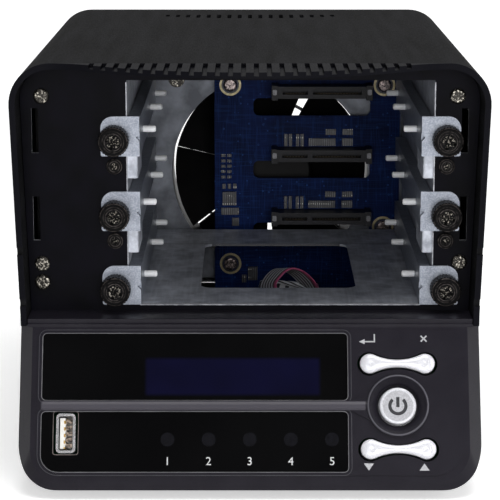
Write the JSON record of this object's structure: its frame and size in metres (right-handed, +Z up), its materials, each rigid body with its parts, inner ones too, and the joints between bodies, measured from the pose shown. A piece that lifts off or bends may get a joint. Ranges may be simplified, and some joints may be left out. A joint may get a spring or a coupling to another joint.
{
  "type": "media player with hard drive tray",
  "caption": "Box-shaped network media player: open drive bays with slide-out rails and thumbscrews above a slanted console with display windows, power button, rocker keys and a USB socket.",
  "frame": {"origin": "middle of the bounding box in plan, on the plane the feet rest on", "axes": "+Z up, -Y towards the front with the bays and console, +X to the right seen from the front"},
  "size_m": [0.1728, 0.234, 0.1548],
  "materials": {
    "shell_black": "fine matte texture",
    "plate_black": "satin black paint",
    "screw_silver": "nickel plated",
    "screw_black": "black oxide",
    "zinc_steel": "zinc plated sheet",
    "rail_steel": "zinc plated sheet",
    "knob_black": "black nickel",
    "board_blue": "solder mask",
    "connector_black": "moulded",
    "chip_black": "moulded",
    "brass_screw": "passivated",
    "fan_black": "moulded",
    "guard_steel": "plated wire",
    "bezel_grey": "satin",
    "window_black": "smoked gloss",
    "module_dark": "dark blue display",
    "light_pipe": "smoked clear",
    "board_green": "solder mask",
    "button_silver": "pearl silver paint",
    "socket_metal": "nickel plated",
    "tongue_white": "moulded",
    "foot_rubber": "matte",
    "heatsink_alu": "anodised",
    "ribbon_grey": "vinyl",
    "plug_grey": "moulded",
    "jack_plastic": "moulded"
  },
  "bodies": {
    "chassis": {"outer_shell": "shell_black", "face_plate": "plate_black", "face_screws": "screw_silver", "fan_screws": "screw_silver", "rear_screws": "screw_silver", "cage_screws": "screw_black", "drive_cage": "zinc_steel", "cage_bulkhead": "zinc_steel", "base_pan": "zinc_steel", "rear_panel": "zinc_steel", "power_supply": "zinc_steel", "backplane_board": "board_blue", "sata_connector_1": "connector_black", "sata_connector_2": "connector_black", "sata_connector_3": "connector_black", "optical_socket": "connector_black", "power_inlet": "connector_black", "backplane_parts": "chip_black", "mainboard_parts": "chip_black", "button_switches": "chip_black", "backplane_screws": "brass_screw", "backplane_standoffs": "brass_screw", "mainboard_standoffs": "brass_screw", "fan_frame": "fan_black", "fan_guard": "guard_steel", "console_bezel": "bezel_grey", "shelf_trim": "bezel_grey", "display_window": "window_black", "status_window": "window_black", "display_module": "module_dark", "led_light_pipes": "light_pipe", "control_board": "board_green", "mainboard": "board_green", "usb_socket_shell": "socket_metal", "network_jacks": "socket_metal", "rear_usb_sockets": "socket_metal", "hdmi_socket": "socket_metal", "esata_socket": "socket_metal", "usb_socket_tongue": "tongue_white", "feet": "foot_rubber", "processor_heatsink": "heatsink_alu", "ribbon_cable": "ribbon_grey", "ribbon_plugs": "plug_grey", "audio_video_jacks": "jack_plastic"},
    "fan_rotor": {"fan_rotor": "fan_black"},
    "left_rail_1": {"left_rail_1": "rail_steel"},
    "left_rail_2": {"left_rail_2": "rail_steel"},
    "left_rail_3": {"left_rail_3": "rail_steel"},
    "left_thumbscrew_1": {"left_thumbscrew_1": "knob_black"},
    "left_thumbscrew_2": {"left_thumbscrew_2": "knob_black"},
    "left_thumbscrew_3": {"left_thumbscrew_3": "knob_black"},
    "menu_rocker_lower": {"menu_rocker_lower": "button_silver"},
    "menu_rocker_upper": {"menu_rocker_upper": "button_silver"},
    "power_button": {"power_button": "button_silver"},
    "right_rail_1": {"right_rail_1": "rail_steel"},
    "right_rail_2": {"right_rail_2": "rail_steel"},
    "right_rail_3": {"right_rail_3": "rail_steel"},
    "right_thumbscrew_1": {"right_thumbscrew_1": "knob_black"},
    "right_thumbscrew_2": {"right_thumbscrew_2": "knob_black"},
    "right_thumbscrew_3": {"right_thumbscrew_3": "knob_black"}
  },
  "joints": [
    {"name": "left_rail_1_slide", "type": "slide", "parent": "chassis", "child": "left_rail_1", "axis": [0, -1, 0], "range_m": [0, 0.15]},
    {"name": "left_thumbscrew_1_turn", "type": "hinge", "parent": "left_rail_1", "child": "left_thumbscrew_1", "pos_m": [-0.0497, -0.0753, 0.1252], "axis": [0, -1, 0], "continuous": true},
    {"name": "left_rail_2_slide", "type": "slide", "parent": "chassis", "child": "left_rail_2", "axis": [0, -1, 0], "range_m": [0, 0.15]},
    {"name": "left_thumbscrew_2_turn", "type": "hinge", "parent": "left_rail_2", "child": "left_thumbscrew_2", "pos_m": [-0.0497, -0.0753, 0.09735], "axis": [0, -1, 0], "continuous": true},
    {"name": "left_rail_3_slide", "type": "slide", "parent": "chassis", "child": "left_rail_3", "axis": [0, -1, 0], "range_m": [0, 0.15]},
    {"name": "left_thumbscrew_3_turn", "type": "hinge", "parent": "left_rail_3", "child": "left_thumbscrew_3", "pos_m": [-0.0497, -0.0753, 0.0695], "axis": [0, -1, 0], "continuous": true},
    {"name": "right_rail_1_slide", "type": "slide", "parent": "chassis", "child": "right_rail_1", "axis": [0, -1, 0], "range_m": [0, 0.15]},
    {"name": "right_thumbscrew_1_turn", "type": "hinge", "parent": "right_rail_1", "child": "right_thumbscrew_1", "pos_m": [0.0721, -0.0753, 0.1252], "axis": [0, -1, 0], "continuous": true},
    {"name": "right_rail_2_slide", "type": "slide", "parent": "chassis", "child": "right_rail_2", "axis": [0, -1, 0], "range_m": [0, 0.15]},
    {"name": "right_thumbscrew_2_turn", "type": "hinge", "parent": "right_rail_2", "child": "right_thumbscrew_2", "pos_m": [0.0721, -0.0753, 0.09735], "axis": [0, -1, 0], "continuous": true},
    {"name": "right_rail_3_slide", "type": "slide", "parent": "chassis", "child": "right_rail_3", "axis": [0, -1, 0], "range_m": [0, 0.15]},
    {"name": "right_thumbscrew_3_turn", "type": "hinge", "parent": "right_rail_3", "child": "right_thumbscrew_3", "pos_m": [0.0721, -0.0753, 0.0695], "axis": [0, -1, 0], "continuous": true},
    {"name": "power_button_press", "type": "slide", "parent": "chassis", "child": "power_button", "axis": [0, 0.9092, -0.4163], "range_m": [0, 0.0012], "stiffness_N_per_m": 1500},
    {"name": "menu_rocker_upper_tilt", "type": "hinge", "parent": "chassis", "child": "menu_rocker_upper", "pos_m": [0.0536, -0.09287, 0.04432], "axis": [0, 0.4163, 0.9092], "range_deg": [-3.5, 3.5], "stiffness_Nm_per_rad": 0.16},
    {"name": "menu_rocker_lower_tilt", "type": "hinge", "parent": "chassis", "child": "menu_rocker_lower", "pos_m": [0.0536, -0.1059, 0.01586], "axis": [0, 0.4163, 0.9092], "range_deg": [-3.5, 3.5], "stiffness_Nm_per_rad": 0.16},
    {"name": "fan_spin", "type": "hinge", "parent": "chassis", "child": "fan_rotor", "pos_m": [0.0089, 0.098, 0.0855], "axis": [0, -1, 0], "continuous": true}
  ]
}
